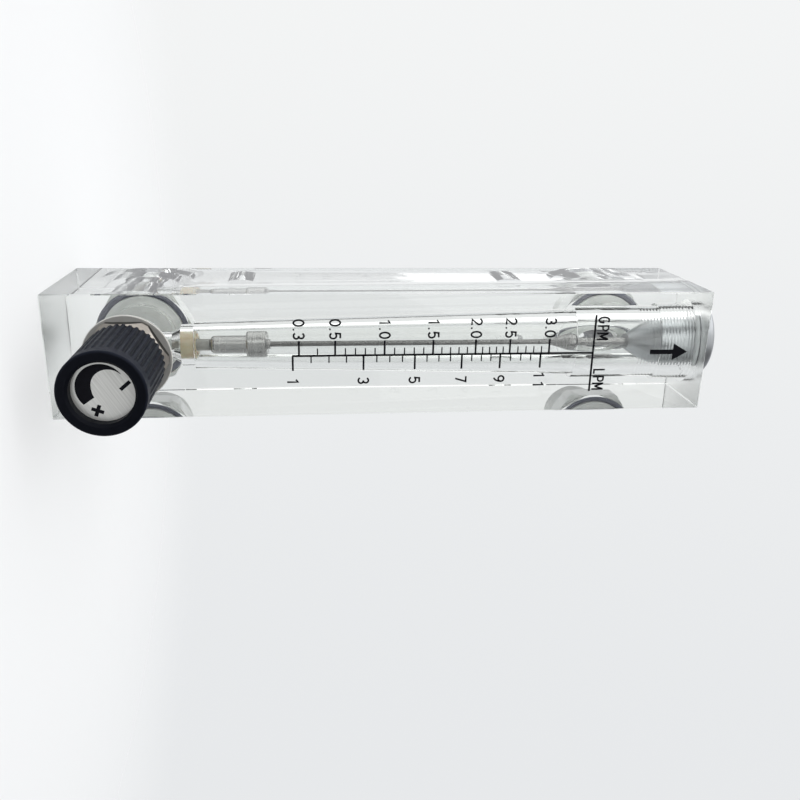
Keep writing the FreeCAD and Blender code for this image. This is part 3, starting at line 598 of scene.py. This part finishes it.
def pen(shape, path, width, place):
    """A film of ink along a path, with mitred corners; a path back to its start is closed."""
    points = [Vector(point) for point in path]
    closed = (points[0] - points[-1]).length < 0.001 * MM
    if closed:
        points.pop()
    sections = []
    for step, point in enumerate(points):
        behind = point - points[step - 1] if closed or step else points[1] - point
        following = points[(step + 1) % len(points)]
        onward = following - point if closed or step < len(points) - 1 else behind
        along = (behind.normalized() + onward.normalized()).normalized()
        reach = width / 2 / max(0.6, along.dot(onward.normalized()))
        side = Vector((-along.y, along.x)) * reach
        section = []
        for edge, depth in ((side, -INK_LIFT / 2), (-side, -INK_LIFT / 2),
                            (-side, INK_LIFT), (side, INK_LIFT)):
            section.append(shape.verts.new(place @ Vector((*(point + edge), depth))))
        sections.append(section)
    pairs = list(zip(sections, sections[1:] + sections[:1]))
    for here, there in pairs if closed else pairs[:-1]:
        for corner in range(4):
            after = (corner + 1) % 4
            shape.faces.new((here[corner], here[after], there[after], there[corner]))
    if not closed:
        shape.faces.new(sections[0])
        shape.faces.new(sections[-1])


def add_signs(shape, words, middle, pitch, high=CAP_HEIGHT, wide=1.0):
    """A row of signs with its middle at (across, up) on the front face."""
    for index, sign in enumerate(words):
        across = middle[0] + (index - (len(words) - 1) / 2) * pitch
        for path in SIGNS[sign]:
            pen(shape, [(across + x * high * wide, middle[1] + y * high) for x, y in path],
                STROKE, ON_FRONT)


def printed(name, shape, body="meter_body"):
    """Turns the drawn shape into a piece of ink."""
    bmesh.ops.recalc_face_normals(shape, faces=shape.faces)
    mesh = bpy.data.meshes.new(name)
    shape.to_mesh(mesh)
    shape.free()
    return new_piece(name, mesh, INK, body)


def scale_lines():
    """The centre line, the cross bar and the two rows of ticks."""
    shape = bmesh.new()
    half = LINE * 0.55
    add_bar(shape, (-half, half), BASE_LINE)
    add_bar(shape, CROSS_BAR, (BASE_LINE[1] - half, BASE_LINE[1] + half))
    for majors, side, steps in ((UPPER_MAJOR, -1, 5), (LOWER_MAJOR, 1, 4)):
        heights = [height * MM for height in majors.values()]
        for height in heights:
            add_tick(shape, height, side * MAJOR_TICK, LINE)
        for low, high in zip(heights, heights[1:]):
            first = majors is UPPER_MAJOR and low == heights[0]
            count = 2 if first else steps
            for step in range(1, count):
                share = step / count
                moved = share + TICK_SPREAD * share * (1 - share)
                add_tick(shape, low + (high - low) * moved, side * MINOR_TICK, LINE * 0.66)
    printed("scale_lines", shape)


def add_tick(shape, height, reach, width):
    """One tick from the centre line outward."""
    add_bar(shape, (min(0, reach), max(0, reach)), (height - width / 2, height + width / 2))


def scale_figures():
    """Figures beside the long ticks, and the two units above the cross bar."""
    shape = bmesh.new()
    for words, height in UPPER_MAJOR.items():
        add_signs(shape, words, (-7.74 * MM, height * MM), 1.89 * MM)
    for words, height in LOWER_MAJOR.items():
        side = 8.1 * MM if words == "11" else 7.6 * MM
        add_signs(shape, words, (side, height * MM), 2.85 * MM)
    add_signs(shape, "GPM", (-7.4 * MM, UNITS_AT), 2.45 * MM, high=UNIT_HEIGHT, wide=0.82)
    add_signs(shape, "LPM", (8.15 * MM, UNITS_AT), 2.3 * MM, high=UNIT_HEIGHT, wide=0.82)
    printed("scale_figures", shape)


def flow_arrow():
    """A plain arrow that shows the flow direction, above the units."""
    shape = bmesh.new()
    half, bottom, top = ARROW_SHAFT
    add_bar(shape, (-half, half), (ARROW_AT + bottom, ARROW_AT + top))
    half, bottom, top = ARROW_HEAD
    add_film(shape, [(-half, ARROW_AT + bottom), (half, ARROW_AT + bottom),
                     (0, ARROW_AT + top)])
    printed("flow_arrow", shape)


# ---------------------------------------------------------------- print on the knob's cap

SWEEP_START = math.radians(134)
SWEEP = math.radians(171)
SWEEP_STEPS = 56
# Direction from the knob's axis, distance from it and the sign's own turn.
MINUS_AT = (math.radians(104), 5.35 * MM, math.radians(27))
PLUS_AT = (math.radians(-20), 5.45 * MM, 0.0)
SIGN_WIDTH = 0.92 * MM
MINUS_REACH = 1.6 * MM
PLUS_REACH = 1.55 * MM


def on_cap(angle=0.0, out=0.0, turn=0.0):
    """Places a flat drawing on the cap: its direction from the axis, distance and own turn."""
    face = Matrix(((1, 0, 0, 0), (0, 0, -1, CAP_FACE), (0, 1, 0, VALVE_AXIS.z), (0, 0, 0, 1)))
    return (face @ Matrix.Rotation(angle, 4, "Z") @ Matrix.Translation((out, 0, 0))
            @ Matrix.Rotation(turn, 4, "Z"))


def cap_marks():
    """A tapering sweep from less to more, with a minus and a plus sign."""
    shape = bmesh.new()
    face = on_cap()
    outer, inner = [], []
    for step in range(SWEEP_STEPS + 1):
        share = step / SWEEP_STEPS
        angle = SWEEP_START + SWEEP * share
        swell = min(1, share / 0.85)
        far = 6.15 * MM + 1.0 * MM * math.sin(math.pi * share)
        near = 6.05 * MM - 3.2 * MM * (3 - 2 * swell) * swell ** 2
        direction = Vector((math.cos(angle), math.sin(angle), 0))
        film = Vector((0, 0, INK_LIFT))
        outer.append(shape.verts.new(face @ (direction * far + film)))
        inner.append(shape.verts.new(face @ (direction * near + film)))
    for step in range(SWEEP_STEPS):
        shape.faces.new((inner[step], outer[step], outer[step + 1], inner[step + 1]))
    pen(shape, ((-MINUS_REACH, 0), (MINUS_REACH, 0)), SIGN_WIDTH, on_cap(*MINUS_AT))
    plus = on_cap(*PLUS_AT)
    pen(shape, ((-PLUS_REACH, 0), (PLUS_REACH, 0)), SIGN_WIDTH, plus)
    for side in (-1, 1):
        pen(shape, ((0, side * SIGN_WIDTH / 2), (0, side * PLUS_REACH)), SIGN_WIDTH, plus)
    printed("cap_marks", shape, "knob_and_stem")


# ---------------------------------------------------------------- surroundings

ROOM_LOW = 0.24
FLOOR_REACH, FLOOR_CORNERS = 0.5, 64
FLOOR_DROP = 0.05 * MM


def pale_surroundings():
    """White above, a little greyer and bluer below; a dimmer room behind the viewer."""
    world = bpy.data.worlds.new("surroundings")
    world.use_nodes = True
    bpy.context.scene.world = world
    tree = world.node_tree
    tree.nodes.clear()
    direction = add(tree, "SeparateXYZ", {0: add(tree, "TexCoord").outputs["Generated"]})
    side, depth = direction.outputs["X"], direction.outputs["Y"]
    fall = add(tree, "MapRange", {
        "Value": side, "From Min": -0.3, "From Max": 0.75}, interpolation_type="SMOOTHSTEP")
    seen = add(tree, "Mix", {
        "Factor": fall.outputs["Result"], "A": (0.905, 0.915, 0.915, 1),
        "B": (0.80, 0.815, 0.83, 1)}, data_type="RGBA").outputs["Result"]
    room = add(tree, "MapRange", {
        "Value": depth, "From Min": -0.6, "From Max": 0.1, "To Min": ROOM_LOW, "To Max": 1.0},
        interpolation_type="SMOOTHSTEP").outputs["Result"]
    light = add(tree, "MapRange", {
        "Value": side, "From Min": -0.9, "From Max": 0.9, "To Min": 1.3, "To Max": 0.62})
    strength = maths(tree, "MULTIPLY", room, light.outputs["Result"])
    lit = add(tree, "Background", {
        "Color": (0.97, 0.98, 1.0, 1), "Strength": strength})
    through = add(tree, "MapRange", {"Value": room, "From Min": ROOM_LOW, "To Min": 0.82})
    shown = add(tree, "Background", {"Color": seen, "Strength": through.outputs["Result"]})
    mixed = add(tree, "MixShader", {
        0: seen_directly(tree), 1: lit.outputs[0], 2: shown.outputs[0]})
    output = add(tree, "OutputWorld")
    tree.links.new(mixed.outputs[0], output.inputs["Surface"])


def pale_floor():
    """A plain floor under the meter that fades into the surroundings."""
    mesh = bpy.data.meshes.new("floor")
    points = [(FLOOR_REACH * math.cos(math.tau * step / FLOOR_CORNERS),
               FLOOR_REACH * math.sin(math.tau * step / FLOOR_CORNERS), FLOOR - FLOOR_DROP)
              for step in range(FLOOR_CORNERS)]
    mesh.from_pydata(points, [], [tuple(range(FLOOR_CORNERS))])
    floor = bpy.data.objects.new("floor", mesh)
    bpy.context.scene.collection.objects.link(floor)
    material, tree, principled = new_material(
        "floor", Base_Color=(0.80, 0.81, 0.82, 1), Roughness=0.9)
    radius, _, _ = around_axis(tree, TUBE_AXIS, "Z")
    fade = add(tree, "MapRange", {
        "Value": radius, "From Min": 0.04, "From Max": 0.30, "To Min": 1.0, "To Max": 0.0},
        interpolation_type="SMOOTHSTEP").outputs["Result"]
    glow = add(tree, "Emission", {"Color": (0.93, 0.935, 0.935, 1), "Strength": 0.62})
    matt = add(tree, "BsdfDiffuse", {"Color": (0.36, 0.365, 0.37, 1)})
    shown = add(tree, "AddShader", {0: glow.outputs[0], 1: matt.outputs[0]})
    looks = add(tree, "MixShader", {
        0: seen_directly(tree), 1: principled.outputs[0], 2: shown.outputs[0]})
    clear = add(tree, "BsdfTransparent")
    faded = add(tree, "MixShader", {0: fade, 1: clear.outputs[0], 2: looks.outputs[0]})
    tree.links.new(faded.outputs[0], tree.nodes["Material Output"].inputs["Surface"])
    mesh.materials.append(material)


def soft_lamp(name, place, size, power):
    """A square area lamp aimed at the middle of the meter."""
    lamp = bpy.data.lights.new(name, "AREA")
    lamp.size = size
    lamp.energy = power
    holder = bpy.data.objects.new(name, lamp)
    bpy.context.scene.collection.objects.link(holder)
    middle = (cad_box[0] + cad_box[1]) / 2
    holder.location = place
    holder.rotation_euler = (middle - Vector(place)).to_track_quat("-Z", "Y").to_euler()


def camera():
    """Close in front of the face, turned so that the meter lies across the picture."""
    lens = bpy.data.cameras.new("camera")
    lens.sensor_width = 36.0
    lens.lens = 35.37
    lens.shift_x = 0.0154
    lens.shift_y = -0.0394
    holder = bpy.data.objects.new("camera", lens)
    bpy.context.scene.collection.objects.link(holder)
    right = Vector((-0.0188, -0.1003, 0.9948))
    up = Vector((-0.9512, 0.3083, 0.0131))
    ahead = up.cross(right).normalized()
    place = Vector((-65.6, -213.9, -23.4)) * MM + Vector((0, FRONT, PLUG_FACE / 2))
    turn = Matrix((right, up, -ahead)).transposed()
    holder.matrix_world = Matrix.Translation(place) @ turn.to_4x4()
    bpy.context.scene.camera = holder


finish_nodes()
threaded_fitting("inlet_fitting")
threaded_fitting("outlet_fitting")
scale_lines()
scale_figures()
flow_arrow()
cap_marks()
pale_surroundings()
pale_floor()
soft_lamp("top_lamp", (-0.75, -0.25, 0.35), 1.6, 7.0)
soft_lamp("front_lamp", (-0.25, -0.75, 0.75), 1.4, 5.0)
camera()
bpy.context.scene.view_settings.view_transform = "Standard"
